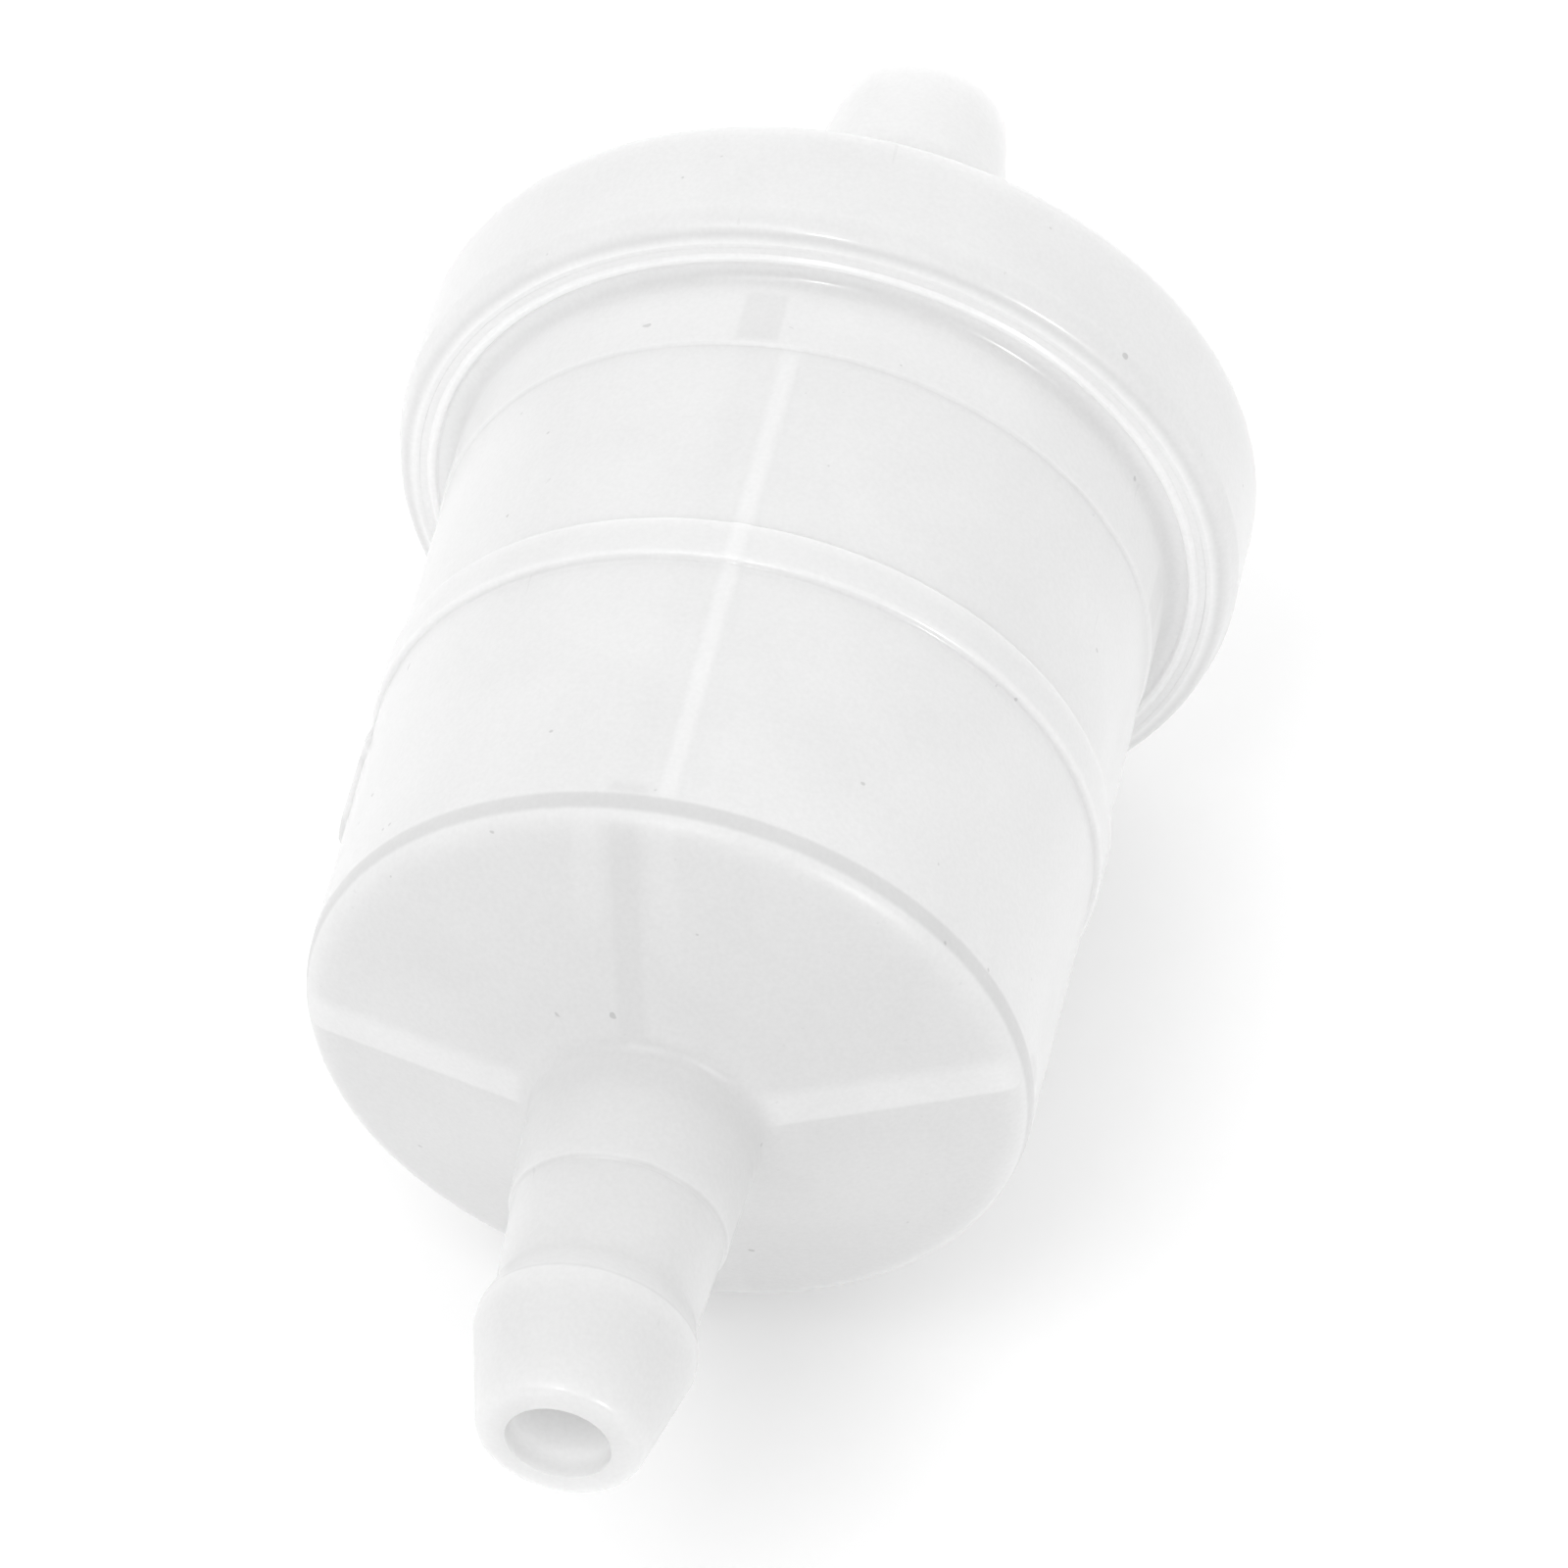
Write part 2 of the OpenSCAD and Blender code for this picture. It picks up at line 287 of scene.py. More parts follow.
# The raised flow arrow: its outline in millimetres (across, along from ARROW_MIDDLE), and where it stands.
ARROW_SHAFT = 0.9
ARROW_HEAD = 2.2
ARROW_TAIL = -7.4
ARROW_HEAD_LOW = -4.6
ARROW_POINT = -2.0
ARROW = [
    (-ARROW_SHAFT, ARROW_TAIL),
    (ARROW_SHAFT, ARROW_TAIL),
    (ARROW_SHAFT, ARROW_HEAD_LOW),
    (ARROW_HEAD, ARROW_HEAD_LOW),
    (0, ARROW_POINT),
    (-ARROW_HEAD, ARROW_HEAD_LOW),
    (-ARROW_SHAFT, ARROW_HEAD_LOW),
]
ARROW_MIDDLE = EDGE + 13.4 * MM
ARROW_TURN = 172
ARROW_FACE_R = BODY_R + 0.32 * MM
ARROW_SOFT = 0.4 * MM
ARROW_REACH = (4 * MM, 9 * MM)

SEAM_TURNS = (90, 270)
SEAM_H = 0.05 * MM
SEAM_HALF_W = 0.4 * MM
SEAM_FADE = 0.8 * MM
UNEVEN_H = 0.025 * MM
UNEVEN_LEN = 9 * MM
UNEVEN_ROUND = 2.2


def depth_inside(x, y, outline):
    """How far a point lies inside a closed outline; below 0 outside it."""
    inside = False
    nearest = 1e9
    point = Vector((x, y))
    for a, b in zip(outline, outline[1:] + outline[:1]):
        va, vb = Vector(a), Vector(b)
        edge = vb - va
        t = min(1, max(0, (point - va).dot(edge) / edge.length_squared))
        nearest = min(nearest, (point - va - edge * t).length)
        if (va.y > y) != (vb.y > y) and x < va.x + (y - va.y) / (vb.y - va.y) * (vb.x - va.x):
            inside = not inside
    return nearest if inside else -nearest


def bowl_relief(angle, r, y):
    """Flow arrow and mould lines on the outside of the bowl, and the slight unevenness of a moulded wall."""
    if r < BODY_IN_R + 0.5 * MM or y > LIP_FACE - 1.2 * MM:
        return 0
    place = Vector((math.cos(angle) * UNEVEN_ROUND, math.sin(angle) * UNEVEN_ROUND, y / UNEVEN_LEN))
    lift = UNEVEN_H * noise.noise(place)
    for middle in SEAM_TURNS:
        across = abs(turn_from(angle, middle)) * r
        along = ease((y - EDGE) / SEAM_FADE) * ease((NECK_LOW - y) / SEAM_FADE)
        lift += SEAM_H * along * ease(1.3 - across / SEAM_HALF_W)
    across, along = turn_from(angle, ARROW_TURN) * r, y - ARROW_MIDDLE
    if abs(across) < ARROW_REACH[0] and abs(along) < ARROW_REACH[1]:
        depth = depth_inside(across / MM, along / MM, ARROW) * MM
        lift += max(0, ARROW_FACE_R - r) * ease(0.5 + depth / ARROW_SOFT)
    return lift


LIP_BEAD_H = 0.14 * MM
BAND_RISE_LEN = 0.15 * MM
NECK_STEP_H = 0.1 * MM


def bowl_outline():
    """The bowl's whole section, outside and inside. A small bead runs round its lip beside the joint."""
    below_neck_r = NECK_R - NECK_STEP_H
    bead_y = LIP_FACE - LIP_BEAD_H
    outside = barb_corners(INLET_TIP, INLET_TIP_R, 0.6 * MM, -1) + [
        (BODY_R, CONE_CORNER, 1.4 * MM),
        (BODY_R + DRAFT, BAND_LOW - BAND_RISE_LEN, 0.15 * MM),
        (BODY_R + DRAFT + BAND_H, BAND_LOW, 0.25 * MM),
        (NECK_R + BAND_H * 0.7, BAND_TOP, 0.15 * MM),
        (below_neck_r, BAND_TOP + 0.25 * MM, SMALL_FILLET),
        (below_neck_r, NECK_LOW, SMALL_FILLET),
        (NECK_R, NECK_LOW + 0.15 * MM, SMALL_FILLET),
        (NECK_R, LIP_FACE, 0.7 * MM),
        (LIP_R - 0.75 * MM, LIP_FACE, SMALL_FILLET),
        (LIP_R - 0.65 * MM, bead_y, SMALL_FILLET),
        (LIP_R - 0.45 * MM, bead_y, SMALL_FILLET),
        (LIP_R - 0.3 * MM, LIP_FACE, SMALL_FILLET),
        (LIP_R, LIP_FACE, 0),
        (LIP_R, SEAT, 0.05 * MM),
    ]
    floor_edge_r = BODY_IN_R - 0.35 * MM
    inside = [
        (NECK_IN_R, SEAT, 0.05 * MM),
        (NECK_IN_R, NECK_LOW, 0.5 * MM),
        (BODY_IN_R, EDGE + 0.4 * MM, 0.8 * MM),
        (floor_edge_r, FLOOR_EDGE, 0.6 * MM),
        (BORE_R, FLOOR_EDGE - (floor_edge_r - BORE_R) * CONE_SLOPE, 0.4 * MM),
    ]
    return resampled(rounded(outside + inside + outside[:1]), LONGEST_FACE)[:-1]


def web_outline():
    """A floor web in the plane of the axis, from the bore to the wall, sunk into the floor and the wall."""
    low = FLOOR_EDGE - 0.6 * MM
    bore_side = BORE_R + 0.5 * MM
    floor_side = BODY_IN_R - 0.3 * MM
    wall_side = BODY_IN_R + 0.4 * MM
    return [
        (bore_side, low - (floor_side - bore_side) * CONE_SLOPE),
        (floor_side, low),
        (wall_side, EDGE + 0.6 * MM),
        (wall_side, WEB_TOP),
        (bore_side, WEB_TOP),
    ]


def rib_outline(inner_r, low, high):
    """An upright bar that stands out from the bowl's inner wall."""
    outer_r = NECK_IN_R + 0.3 * MM
    return [(inner_r, low), (outer_r, low), (outer_r, high), (inner_r, high)]


def make_bowl():
    fine = [(middle, 2.4, 0.3) for middle in SEAM_TURNS] + [(ARROW_TURN, 15, 0.6)]
    bowl = turned("bowl_shell", bowl_outline(), angle_list(RING_STEP, fine), bowl_relief)
    rib = rib_outline(RIB_IN_R, WEB_TOP - SINK, LUG_LOW + SINK)
    lug = rib_outline(RIB_IN_R - LUG_RISE, LUG_LOW, LUG_HIGH)
    inner = []
    for turn in range(WEB_TURN, 360, 90):
        inner.append(prism("web", web_outline(), WEB_T, turn))
        inner.append(prism("rib", rib, RIB_T, turn))
        inner.append(prism("lug", lug, LUG_W, turn))
    join_solids(bowl, inner)
    smooth(bowl)
    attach(bowl, "root")
    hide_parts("bowl")
    return bowl


# ---------------------------------------------------------------- cap

def cap_outline():
    """The cap's whole section: skirt, flange, barb, spigot, boss and the plug inside the bowl's neck."""
    skirt_in_r = LIP_R + 0.005 * MM
    plug_r = NECK_IN_R - 0.1 * MM
    plug_in_r = plug_r - 1.0 * MM
    plug_low = LIP_FACE + 0.5 * MM
    boss_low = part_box("outlet_gasket")[1].y
    boss_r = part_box("outlet_gasket")[1].x - 0.1 * MM
    spigot_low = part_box("core_tube")[1].y - 1.6 * MM
    spigot_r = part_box("core_tube")[1].x - 0.8 * MM
    cap_in = CAP_RIM - WALL
    outlet = barb_corners(OUTLET_TIP, OUTLET_TIP_R, 0.12 * MM, 1)
    corners = [
        (skirt_in_r, LIP_FACE, 0),
        (FLANGE_R - 0.9 * MM, LIP_FACE, 0.1 * MM),
        (FLANGE_R - 0.25 * MM, LIP_FACE + 0.3 * MM, 0.6 * MM),
        (FLANGE_R, LIP_FACE + 1.2 * MM, 0.6 * MM),
        (FLANGE_R, CAP_RIM, 1.0 * MM),
    ]
    corners += reversed(outlet)
    corners += [
        (BORE_R, spigot_low, 0.2 * MM),
        (spigot_r, spigot_low, 0.3 * MM),
        (spigot_r, boss_low, 0.1 * MM),
        (boss_r, boss_low, 0.2 * MM),
        (boss_r, cap_in, 0.4 * MM),
        (plug_in_r, cap_in, 0.4 * MM),
        (plug_in_r, plug_low, 0.2 * MM),
        (plug_r, plug_low, 0.2 * MM),
        (plug_r, SEAT, 0.05 * MM),
        (skirt_in_r, SEAT, 0.05 * MM),
    ]
    middle = (skirt_in_r, (SEAT + LIP_FACE) / 2, 0)
    return resampled(rounded([middle] + corners + [middle]), LONGEST_FACE)[:-1]


def make_cap():
    cap = turned("cap_cover", cap_outline(), angle_list(RING_STEP, []))
    smooth(cap)
    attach(cap, "root")
    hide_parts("cap")
    return cap


# ---------------------------------------------------------------- materials

def new_material(name):
    """A new material, its node tree and its Principled shader."""
    material = bpy.data.materials.new(name)
    material.use_nodes = True
    tree = material.node_tree
    shader = tree.nodes["Principled BSDF"]
    return material, tree, shader


def noise_node(tree, scale, detail=3, roughness=0.5, distortion=0.0, turn=None, stretch=1.0):
    """Noise in the object's own space, rotated by turn, and drawn out along Y where stretch is below 1."""
    place = tree.nodes.new("ShaderNodeTexCoord").outputs["Object"]
    if turn or stretch != 1.0:
        mapping = tree.nodes.new("ShaderNodeMapping")
        mapping.inputs["Rotation"].default_value = turn or (0.0, 0.0, 0.0)
        mapping.inputs["Scale"].default_value = (1.0, stretch, 1.0)
        tree.links.new(place, mapping.inputs["Vector"])
        place = mapping.outputs["Vector"]
    node = tree.nodes.new("ShaderNodeTexNoise")
    node.inputs["Scale"].default_value = scale
    node.inputs["Detail"].default_value = detail
    node.inputs["Roughness"].default_value = roughness
    node.inputs["Distortion"].default_value = distortion
    tree.links.new(place, node.inputs["Vector"])
    return node.outputs["Fac"]


def ramp_node(tree, source, stops):
    """The colour ramp with the given (position, colour) stops, read at source."""
    node = tree.nodes.new("ShaderNodeValToRGB")
    ramp = node.color_ramp
    while len(ramp.elements) < len(stops):
        ramp.elements.new(0.5)
    for element, (place, colour) in zip(ramp.elements, stops):
        element.position = place
        element.color = (*colour, 1)
    tree.links.new(source, node.inputs["Fac"])
    return node.outputs["Color"]


def multiplied(tree, a, b):
    node = tree.nodes.new("ShaderNodeMix")
    node.data_type = "RGBA"
    node.blend_type = "MULTIPLY"
    node.inputs["Factor"].default_value = 1.0
    tree.links.new(a, node.inputs["A"])
    tree.links.new(b, node.inputs["B"])
    return node.outputs["Result"]


def ranged(tree, source, low, high):
    """Source, from 0 to 1, spread from low to high."""
    node = tree.nodes.new("ShaderNodeMapRange")
    node.inputs["To Min"].default_value = low
    node.inputs["To Max"].default_value = high
    tree.links.new(source, node.inputs["Value"])
    return node.outputs["Result"]


def bumped(tree, shader, source, strength, distance):
    node = tree.nodes.new("ShaderNodeBump")
    node.inputs["Strength"].default_value = strength
    node.inputs["Distance"].default_value = distance
    tree.links.new(source, node.inputs["Height"])
    tree.links.new(node.outputs["Normal"], shader.inputs["Normal"])


def grey(v):
    return (v, v, v)


def math_node(tree, operation, a, b=0.0):
    node = tree.nodes.new("ShaderNodeMath")
    node.operation = operation
    for socket, value in zip(node.inputs, (a, b)):
        if isinstance(value, (int, float)):
            socket.default_value = value
        else:
            tree.links.new(value, socket)
    return node.outputs["Value"]


def soft_step(tree, value, low, high):
    """0 below low, 1 above high, smooth between; low may be above high."""
    node = tree.nodes.new("ShaderNodeMapRange")
    node.interpolation_type = "SMOOTHSTEP"
    node.inputs["From Min"].default_value = min(low, high)
    node.inputs["From Max"].default_value = max(low, high)
    node.inputs["To Min"].default_value = 0.0 if low < high else 1.0
    node.inputs["To Max"].default_value = 1.0 if low < high else 0.0
    tree.links.new(value, node.inputs["Value"])
    return node.outputs["Result"]


def window(tree, value, low, high, soft):
    """1 between low and high, 0 outside."""
    return math_node(tree, "MULTIPLY", soft_step(tree, value, low - soft, low + soft),
                     soft_step(tree, value, high + soft, high - soft))


def both(tree, *masks):
    """The product of the masks."""
    product = masks[0]
    for mask in masks[1:]:
        product = math_node(tree, "MULTIPLY", product, mask)
    return product


def toned(tree, colour, mask, gain):
    """The colour times gain where the mask is 1."""
    factor = math_node(tree, "ADD", math_node(tree, "MULTIPLY", mask, gain - 1.0), 1.0)
    return multiplied(tree, colour, factor)


def axis_coordinates(tree):
    """Object-space y and distance from the axis, then the distances |x|, v, |u| and |v| from upright planes.

    The webs stand in the planes u = 0 and v = 0; v rises towards the upper side.
    """
    place = tree.nodes.new("ShaderNodeTexCoord")
    split = tree.nodes.new("ShaderNodeSeparateXYZ")
    tree.links.new(place.outputs["Object"], split.inputs["Vector"])
    x, y, z = (split.outputs[k] for k in "XYZ")
    square = math_node(tree, "ADD", both(tree, x, x), both(tree, z, z))
    c, s = math.cos(math.radians(WEB_TURN)), math.sin(math.radians(WEB_TURN))
    u = math_node(tree, "ADD", math_node(tree, "MULTIPLY", x, c), math_node(tree, "MULTIPLY", z, s))
    v = math_node(tree, "SUBTRACT", math_node(tree, "MULTIPLY", z, c), math_node(tree, "MULTIPLY", x, s))
    x_abs, u_abs, v_abs = (math_node(tree, "ABSOLUTE", value) for value in (x, u, v))
    return y, math_node(tree, "SQRT", square), x_abs, v, u_abs, v_abs


# Milky nylon: the two parts' base tones, its satin surface and how far light travels inside it.
TONE = 0.775
CAP_TONE = 0.775
CLOUD_DEPTH = 0.03
GRAIN_LOW = 0.965
ROUGHNESS = (0.33, 0.42)
COAT = 0.5
DEPTH = 1.2 * MM
STEM_DEPTH = 3.5 * MM
JOINT_DEPTH = 0.03 * MM

# Gains on the tone: above 1 where a place looks paler than the rest, below 1 where it looks darker.
# Specks and scratches are marks on the plastic; the cone, web, mould line, band, neck, lip, stem and bore
# gains are painted light and shade.
SPECK_GAIN = 0.78
SCRATCH_GAIN = 0.95
# Painted shade over the cone and deeper below its webs, painted light on the side webs and beside the upper
# web, painted shade on the upper web.
CONE_PAINTED_SHADE = 0.985
BELOW_WEBS_PAINTED_SHADE = 0.975
SIDE_WEB_PAINTED_LIGHT = 1.075
UPPER_WEB_PAINTED_SHADE = 0.965
WEB_FLANK_PAINTED_LIGHT = 1.03
ROOT_GAIN = 1.04
EDGE_GAIN = 0.86
RIB_GAIN = 0.99
FOOT_GAIN = 0.94
LUG_GAIN = 0.94
# Painted highlights along the mould line and the band's lower edge, painted shade along the band's top edge.
SEAM_PAINTED_HIGHLIGHT = 1.035
BAND_LOW_PAINTED_HIGHLIGHT = 1.05
BAND_TOP_PAINTED_SHADE = 0.95
# Painted light on the neck, on the lip's underside and at the joint.
NECK_PAINTED_LIGHT = 1.09
LIP_PAINTED_LIGHT = 1.22
LINE_GAIN = 0.93
# Painted shade on both stems, painted light in both bores.
STEM_PAINTED_SHADE = 0.885
CAP_STEM_PAINTED_SHADE = 0.955
BORE_PAINTED_LIGHT = 1.36

# Where a side web shows on the cone: the photo has it a little above the web's own middle plane.
WEB_SEEN_LOW = 0.42 * MM
WEB_SEEN_HIGH = 2.12 * MM
LINE_DEPTHS = (CREST_END + 0.05, STEM_RING + STEM_RING_W / 2)  # millimetres behind the tip
LINE_HALF = 0.06
MARK_SOFT = 0.03


def specks(tree, scale, threshold):
    """Rare small dark marks."""
    return soft_step(tree, noise_node(tree, scale, 1, 0.4), threshold, threshold + MARK_SOFT)


def scratches(tree, turn, scale, threshold):
    """Rare faint lines, about 0.1 mm wide and a few millimetres long."""
    lines = noise_node(tree, scale, 1, turn=(0.3, turn, 0.5 * turn), stretch=0.05)
    return soft_step(tree, lines, threshold, threshold + MARK_SOFT)


def milky_colour(tree, tone):
    """The tone with soft clouds, fine grain, and rare scratches and specks."""
    clouds = noise_node(tree, 160, 4, 0.55, 0.4)
    grain = noise_node(tree, 5200, 2)
    colour = multiplied(
        tree,
        ramp_node(tree, clouds, [(0.3, grey(tone - CLOUD_DEPTH)), (0.7, grey(tone))]),
        ramp_node(tree, grain, [(0.3, grey(GRAIN_LOW)), (0.7, grey(1.0))]),
    )
    colour = toned(tree, colour, scratches(tree, 0.7, 2600, 0.77), SCRATCH_GAIN)
    return toned(tree, colour, specks(tree, 1500, 0.79), SPECK_GAIN)


def milky_plastic(tree, shader, colour, depth):
    """Natural nylon: light passes into it, and the surface is satin with a fine unevenness."""
    tree.links.new(colour, shader.inputs["Base Color"])
    tree.links.new(ranged(tree, noise_node(tree, 420), *ROUGHNESS), shader.inputs["Roughness"])
    bumped(tree, shader, noise_node(tree, 2600), 0.15, 0.04 * MM)
    shader.inputs["IOR"].default_value = 1.5
    shader.inputs["Specular IOR Level"].default_value = 0.3
    shader.inputs["Coat Weight"].default_value = COAT
    shader.inputs["Coat Roughness"].default_value = 0.14
    shader.inputs["Coat IOR"].default_value = 1.4
    shader.inputs["Subsurface Weight"].default_value = 1.0
    shader.inputs["Subsurface Radius"].default_value = (1.0, 1.0, 1.0)
    tree.links.new(depth, shader.inputs["Subsurface Scale"])


def depth_of(tree, on_stem, to_joint):
    """How far light travels inside: deeper in the thin stems, hardly at all beside the joint."""
    depth = ranged(tree, on_stem, DEPTH, STEM_DEPTH)
    return both(tree, depth, ranged(tree, to_joint, 1.0, JOINT_DEPTH / DEPTH))


def bore_mask(tree, y, r, tip, out):
    """The wall of a barb's bore, from a little behind the tip; out is +1 or -1, the way the barb points."""
    in_bore = soft_step(tree, r, BORE_R + 0.3 * MM, BORE_R + 0.05 * MM)
    return both(tree, in_bore, soft_step(tree, y, tip - out * 0.2 * MM, tip - out * 1.2 * MM))


def cone_marks_light_and_shade(tree, y, r, v, u_abs):
    """On the cone: the two side webs as pale bars of painted light, the upper one as a dark band of painted
    shade with pale flanks of painted light, and painted shade over the whole cone, deeper below the webs; the
    stem's root is paler and a darker line runs along the edge.
    """
    on_cone = soft_step(tree, y, EDGE - 0.8 * MM, EDGE - 1.4 * MM)
    off_stem = soft_step(tree, r, STEM_ROOT_R + 0.1 * MM, STEM_ROOT_R + 0.9 * MM)
    # Painted shade on the cone below the side webs.
    below_webs_shade = soft_step(tree, v, WEB_SEEN_LOW + 0.1 * MM, WEB_SEEN_LOW - 0.1 * MM)
    # Pale bars of painted light where the side webs stand behind the wall.
    side_web_light = both(tree, soft_step(tree, v, WEB_SEEN_LOW - 0.1 * MM, WEB_SEEN_LOW + 0.1 * MM),
                    soft_step(tree, v, WEB_SEEN_HIGH + 0.4 * MM, WEB_SEEN_HIGH - 0.5 * MM))
    # A dark band of painted shade along the upper web, and pale flanks of painted light beside it.
    upper_web_shade = soft_step(tree, u_abs, 0.75 * MM, 0.3 * MM)
    flank_light = both(tree, window(tree, u_abs, 0.9 * MM, 2.0 * MM, 0.3 * MM),
                 soft_step(tree, r, 7 * MM, 12 * MM))
    near_root = soft_step(tree, r, STEM_ROOT_R + 2 * MM, STEM_ROOT_R + 0.1 * MM)
    edge_line = window(tree, y, EDGE - 0.72 * MM, EDGE - 0.08 * MM, 0.1 * MM)
    return [
        # Painted shade over the whole cone.
        (on_cone, CONE_PAINTED_SHADE),
        (both(tree, on_cone, off_stem, below_webs_shade), BELOW_WEBS_PAINTED_SHADE),
        (both(tree, on_cone, off_stem, side_web_light), SIDE_WEB_PAINTED_LIGHT),
        (both(tree, on_cone, off_stem, upper_web_shade), UPPER_WEB_PAINTED_SHADE),
        (both(tree, on_cone, flank_light), WEB_FLANK_PAINTED_LIGHT),
        (both(tree, on_cone, near_root), ROOT_GAIN),
        (edge_line, EDGE_GAIN),
    ]


def wall_marks(tree, y, x_abs, near_web):
    """On the side wall: marks for the ribs, the webs' feet and the lugs, a painted highlight along the mould
    line and the band's lower edge, and painted shade along the band's top edge.

    The lugs' marks stand where the photo has them, up to 1 mm nearer the inlet than the modelled lugs.
    """
    rib = soft_step(tree, near_web, RIB_T / 2 + 0.4 * MM, RIB_T / 2 - 0.2 * MM)
    foot = soft_step(tree, near_web, 1.0 * MM, 0.5 * MM)
    lug = soft_step(tree, near_web, LUG_W / 2 + 0.15 * MM, LUG_W / 2 - 0.1 * MM)
    seam = soft_step(tree, x_abs, 0.5 * MM, 0.15 * MM)
    return [
        (both(tree, rib, window(tree, y, EDGE + 0.5 * MM, NECK_LOW, 0.6 * MM)), RIB_GAIN),
        (both(tree, foot, window(tree, y, EDGE, EDGE + 0.5 * MM, 0.2 * MM)), FOOT_GAIN),
        (both(tree, lug, window(tree, y, NECK_LOW + 0.3 * MM, NECK_LOW + 2.7 * MM, 0.2 * MM)), LUG_GAIN),
        # A pale stripe of painted highlight along the mould line.
        (both(tree, seam, window(tree, y, EDGE, NECK_LOW, 0.3 * MM)), SEAM_PAINTED_HIGHLIGHT),
        # A painted highlight along the band's lower edge, and painted shade along its top edge.
        (window(tree, y, BAND_LOW - 0.35 * MM, BAND_LOW + 0.1 * MM, 0.1 * MM), BAND_LOW_PAINTED_HIGHLIGHT),
        (window(tree, y, BAND_TOP, BAND_TOP + 0.2 * MM, 0.1 * MM), BAND_TOP_PAINTED_SHADE),
    ]


def lip_painted_light(tree, y, r):
    """Painted light on the neck and on the lip's underside, which makes up for the light that is lost in the
    joint between the lip and the cap.
    """
    near_lip_light = soft_step(tree, y, LIP_FACE - 4 * MM, LIP_FACE - 0.5 * MM)
    on_lip_light = both(tree, soft_step(tree, y, LIP_FACE - 1.4 * MM, LIP_FACE - 0.4 * MM),
                  soft_step(tree, r, NECK_R + 0.1 * MM, NECK_R + 0.7 * MM))
    return [(near_lip_light, NECK_PAINTED_LIGHT), (on_lip_light, LIP_PAINTED_LIGHT / NECK_PAINTED_LIGHT)]


def stem_marks(tree, y, r, on_stem):
    """The inlet stem, darker than the body as painted shade, with two fine lines round it and a bore made paler
    with painted light.
    """
    marks = [(on_stem, STEM_PAINTED_SHADE), (bore_mask(tree, y, r, INLET_TIP, -1), BORE_PAINTED_LIGHT)]
    for depth in LINE_DEPTHS:
        low = INLET_TIP + (depth - LINE_HALF) * MM
        high = INLET_TIP + (depth + LINE_HALF) * MM
        marks.append((window(tree, y, low, high, LINE_HALF * MM), LINE_GAIN))
    return marks


def bowl_nylon():
    """Milky nylon with marks where the photo has webs, ribs and lugs showing through.

    The scattering doesn't bring out the solids behind the wall, so the marks stand in for them, as painted
    light and shade. Other marks are painted light and shade too: a darker cone and stem, a paler neck, lip and
    bore, and highlights and shade at the mould line and the band's edges.
    """
    material, tree, shader = new_material("bowl_nylon")
    y, r, x_abs, v, u_abs, v_abs = axis_coordinates(tree)
    near_web = math_node(tree, "MINIMUM", u_abs, v_abs)
    on_stem = soft_step(tree, y, EDGE - 3.9 * MM, EDGE - 5.5 * MM)
    marks = cone_marks_light_and_shade(tree, y, r, v, u_abs) + wall_marks(tree, y, x_abs, near_web)
    marks += lip_painted_light(tree, y, r) + stem_marks(tree, y, r, on_stem)
    colour = milky_colour(tree, TONE)
    for mask, gain in marks:
        colour = toned(tree, colour, mask, gain)
    to_joint = both(tree, soft_step(tree, r, LIP_R - 1.5 * MM, LIP_R),
                    soft_step(tree, y, LIP_FACE - 1.5 * MM, LIP_FACE))
    milky_plastic(tree, shader, colour, depth_of(tree, on_stem, to_joint))
    off_cone = math_node(tree, "SUBTRACT", 1.0, window(tree, y, EDGE - 5.5 * MM, EDGE, 0.3 * MM))
    tree.links.new(math_node(tree, "MULTIPLY", off_cone, COAT), shader.inputs["Coat Weight"])
    return material


def cap_nylon():
    """The bowl's nylon with painted shade on the stem, and painted light in the bore and at the joint."""
    material, tree, shader = new_material("cap_nylon")
    y, r = axis_coordinates(tree)[:2]
    on_stem = soft_step(tree, y, CAP_RIM + 2 * MM, CAP_RIM + 4 * MM)
    joint_light = both(tree, soft_step(tree, r, LIP_R + 0.6 * MM, LIP_R + 0.2 * MM),
                    soft_step(tree, y, SEAT, LIP_FACE))
    colour = milky_colour(tree, CAP_TONE)
    # Painted shade on the stem, painted light at the joint and in the bore.
    for mask, gain in (
        (on_stem, CAP_STEM_PAINTED_SHADE),
        (joint_light, LIP_PAINTED_LIGHT * TONE / CAP_TONE),
        (bore_mask(tree, y, r, OUTLET_TIP, 1), BORE_PAINTED_LIGHT),
    ):
        colour = toned(tree, colour, mask, gain)
    to_joint = both(tree, soft_step(tree, r, LIP_R + 0.9 * MM, LIP_R + 0.05 * MM),
                    soft_step(tree, y, SEAT + MM, SEAT))
    milky_plastic(tree, shader, colour, depth_of(tree, on_stem, to_joint))
    return material


FIBRE_LOW = 0.88
SHADE = 0.9
ROUGH_SPREAD = 0.08


def inner_material(name, colour, cloud_scale, rough, grain_scale, grain_depth, stretch=1.0):
    """A clouded, grainy surface; stretch below 1 draws the grain out along the axis, as in paper fibres."""
    material, tree, shader = new_material(name)
    darker = [channel * SHADE for channel in colour]
    clouds = ramp_node(tree, noise_node(tree, cloud_scale, 4, 0.6, 0.5), [(0.3, darker), (0.7, colour)])
    grain = noise_node(tree, grain_scale, 4, stretch=stretch)
    fleck = ramp_node(tree, grain, [(0.35, grey(FIBRE_LOW)), (0.65, grey(1.0))])
    tree.links.new(multiplied(tree, clouds, fleck), shader.inputs["Base Color"])
    roughness = ranged(tree, grain, rough - ROUGH_SPREAD, rough + ROUGH_SPREAD)
    tree.links.new(roughness, shader.inputs["Roughness"])
    bumped(tree, shader, grain, 0.3, grain_depth)
    return material


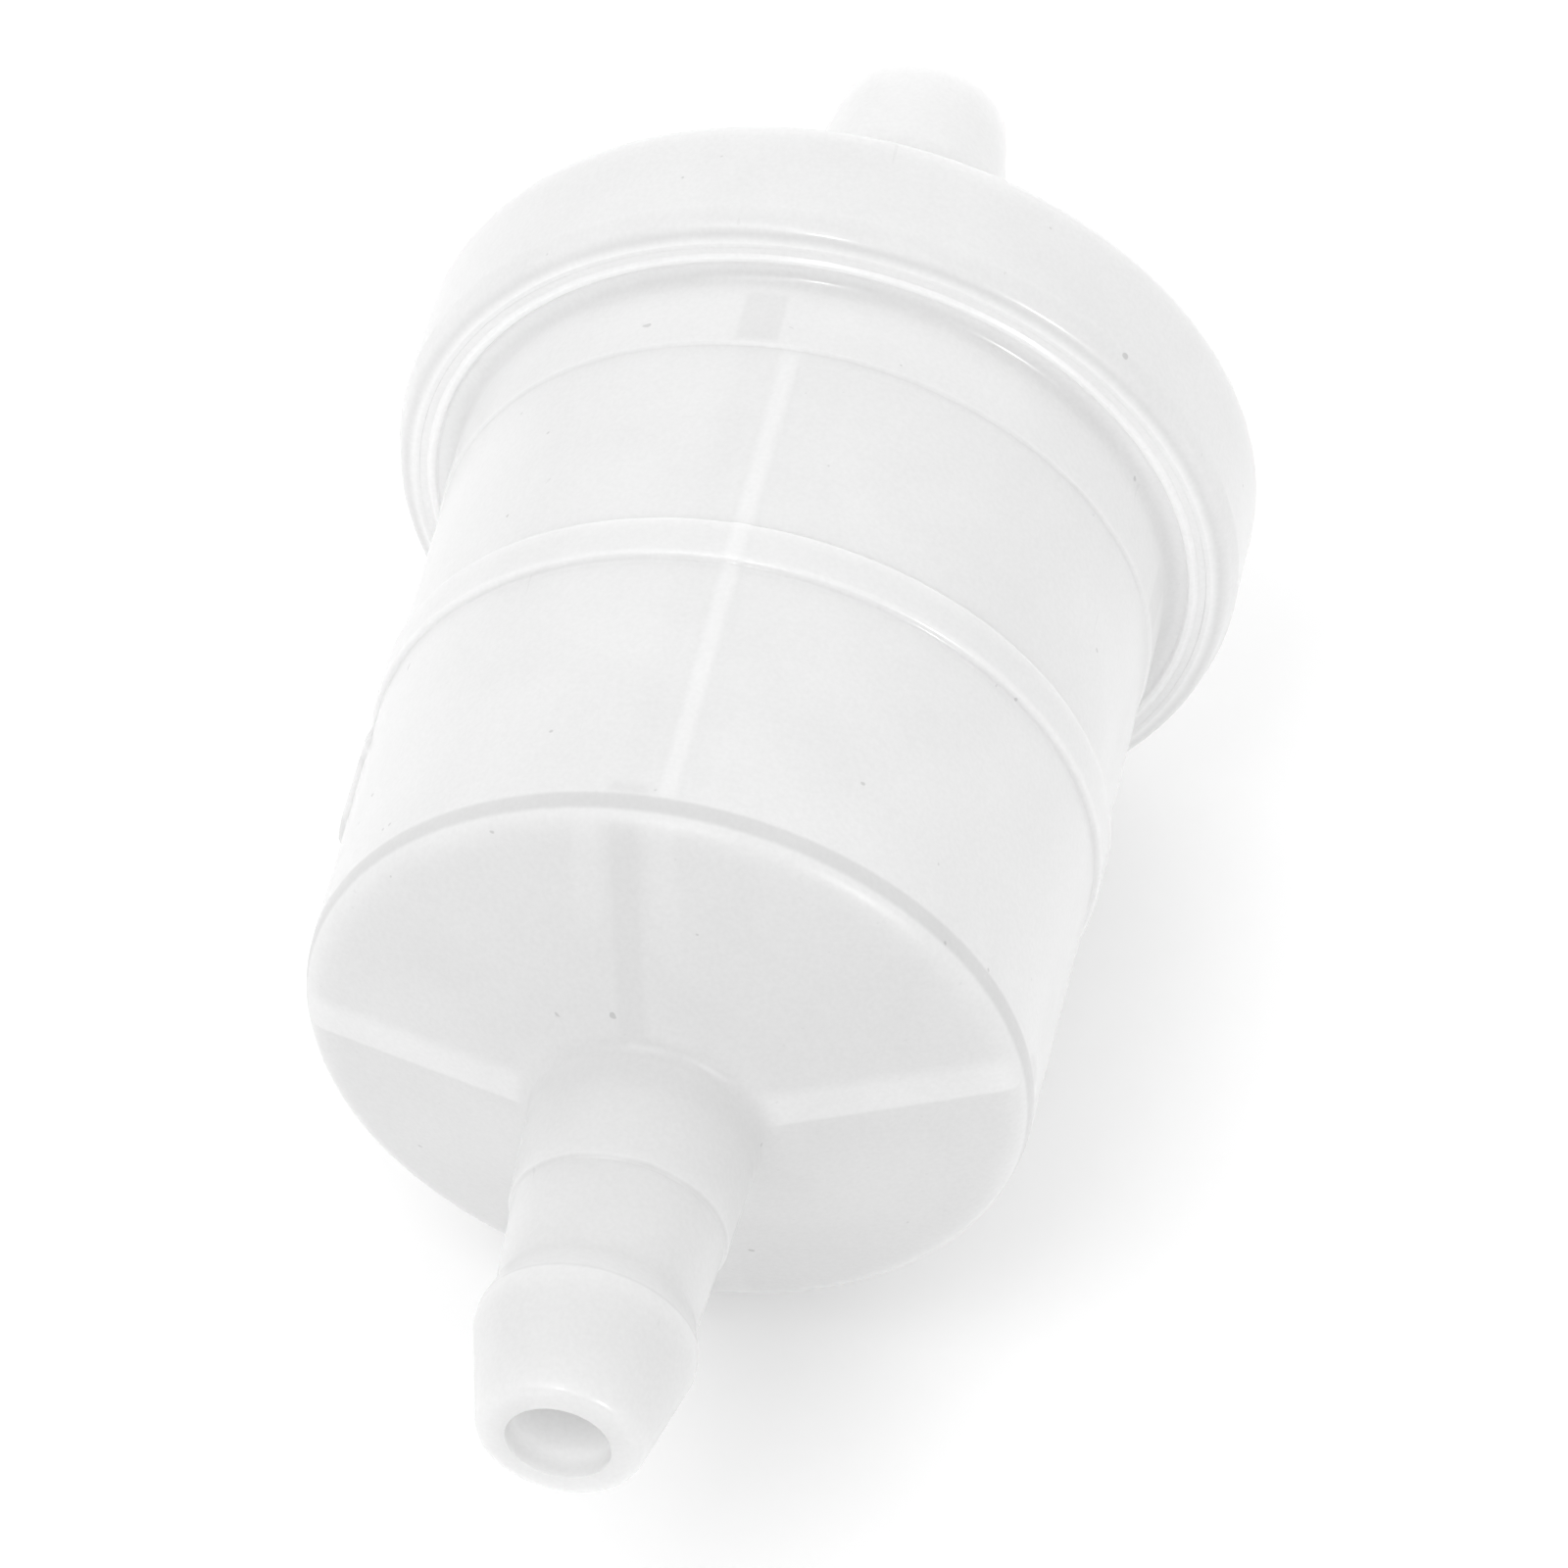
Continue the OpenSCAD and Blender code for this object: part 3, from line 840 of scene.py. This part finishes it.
def assign(piece, material):
    piece.data.materials.clear()
    piece.data.materials.append(material)


bowl = make_bowl()
cap = make_cap()
assign(bowl, bowl_nylon())
assign(cap, cap_nylon())
INNER_LOOKS = [
    (("core_tube", "closed_end_plate", "open_end_plate"),
     ("element_plastic", (0.84, 0.84, 0.82), 300, 0.45, 2400, 0.03 * MM)),
    (("pleated_paper",), ("filter_paper", (0.85, 0.82, 0.74), 500, 0.85, 4000, 0.06 * MM, 0.15)),
    (("paper_seam",), ("seam_strip", (0.8, 0.77, 0.7), 400, 0.6, 3000, 0.04 * MM, 0.4)),
    (("inlet_end_glue", "outlet_end_glue"), ("potting_glue", (0.85, 0.76, 0.55), 250, 0.3, 1200, 0.05 * MM)),
    (("outlet_gasket",), ("gasket_rubber", (0.06, 0.06, 0.06), 600, 0.65, 5000, 0.02 * MM)),
]
for nodes, look in INNER_LOOKS:
    material = inner_material(*look)
    for node in nodes:
        assign(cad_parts[node], material)


# ---------------------------------------------------------------- floor, light and camera

FLOOR_HALF = 3.0
FLOOR_GAP = 0.02 * MM


def make_floor():
    """A plain near-white floor just below the part, with a little glow so that its far reach stays white."""
    bm = bmesh.new()
    bmesh.ops.create_grid(bm, x_segments=4, y_segments=4, size=FLOOR_HALF)
    floor = piece_from(bm, "floor")
    floor.location.z = cad_low.z - FLOOR_GAP
    material, _, shader = new_material("floor_paint")
    shader.inputs["Base Color"].default_value = (0.95, 0.95, 0.95, 1)
    shader.inputs["Roughness"].default_value = 0.9
    shader.inputs["Emission Color"].default_value = (1, 1, 1, 1)
    shader.inputs["Emission Strength"].default_value = 0.05
    assign(floor, material)


def make_light(name, where, size, power, only_gloss=False):
    """A square lamp aimed at the part; only_gloss makes it show in highlights alone."""
    light = bpy.data.lights.new(name, "AREA")
    light.energy = power
    light.size = size
    lamp = bpy.data.objects.new(name, light)
    lamp.location = where
    lamp.visible_diffuse = not only_gloss
    lamp.rotation_euler = (-Vector(where)).to_track_quat("-Z", "Y").to_euler()
    bpy.context.scene.collection.objects.link(lamp)


# The photo's viewing angle; the offset is (right, down, ahead) in body radii.
CAMERA_AZIMUTH = math.radians(11.672)
CAMERA_ELEVATION = math.radians(48.966)
CAMERA_LENS = 236.25
CAMERA_OFFSET = (-0.3078, 0.6905, 27.734)


def make_camera():
    """Places the camera so that the middle of the bowl's inlet edge lies CAMERA_OFFSET from it."""
    a, e = CAMERA_AZIMUTH, CAMERA_ELEVATION
    back = Vector((math.sin(a) * math.cos(e), -math.cos(a) * math.cos(e), math.sin(e)))
    right = Vector((math.cos(a), math.sin(a), 0))
    up = back.cross(right)
    across, down, ahead = (v * BODY_R for v in CAMERA_OFFSET)
    data = bpy.data.cameras.new("camera")
    data.lens = CAMERA_LENS
    data.sensor_width = 36
    data.clip_start = 0.01
    camera = bpy.data.objects.new("camera", data)
    camera.location = Vector((0, EDGE, 0)) - right * across + up * down + back * ahead
    camera.rotation_mode = "QUATERNION"
    camera.rotation_quaternion = Matrix((right, up, back)).transposed().to_quaternion()
    bpy.context.scene.collection.objects.link(camera)
    bpy.context.scene.camera = camera


WORLD_BASE = 0.8
WORLD_SLOPES = (0.04, 0.25, 0.3)


def make_world():
    """A white studio all round, a little brighter above, behind and to the right."""
    world = bpy.data.worlds.new("studio")
    world.use_nodes = True
    tree = world.node_tree
    background = tree.nodes["Background"]
    place = tree.nodes.new("ShaderNodeTexCoord")
    split = tree.nodes.new("ShaderNodeSeparateXYZ")
    tree.links.new(place.outputs["Generated"], split.inputs["Vector"])
    strength = WORLD_BASE
    for axis, slope in zip("XYZ", WORLD_SLOPES):
        strength = math_node(tree, "ADD", math_node(tree, "MULTIPLY", split.outputs[axis], slope), strength)
    tree.links.new(strength, background.inputs["Strength"])
    background.inputs["Color"].default_value = (1, 1, 1, 1)
    scene = bpy.context.scene
    scene.world = world
    scene.view_settings.view_transform = "Standard"
    scene.cycles.max_bounces = 16
    scene.cycles.diffuse_bounces = 12


make_floor()
make_light("key", (-0.2, -0.35, 0.6), 0.4, 1.2)
make_light("front", (-0.06, -0.5, 0.42), 0.05, 0.9, only_gloss=True)
make_light("side", (0.4, -0.48, 0.25), 0.05, 1.8, only_gloss=True)
make_world()
make_camera()
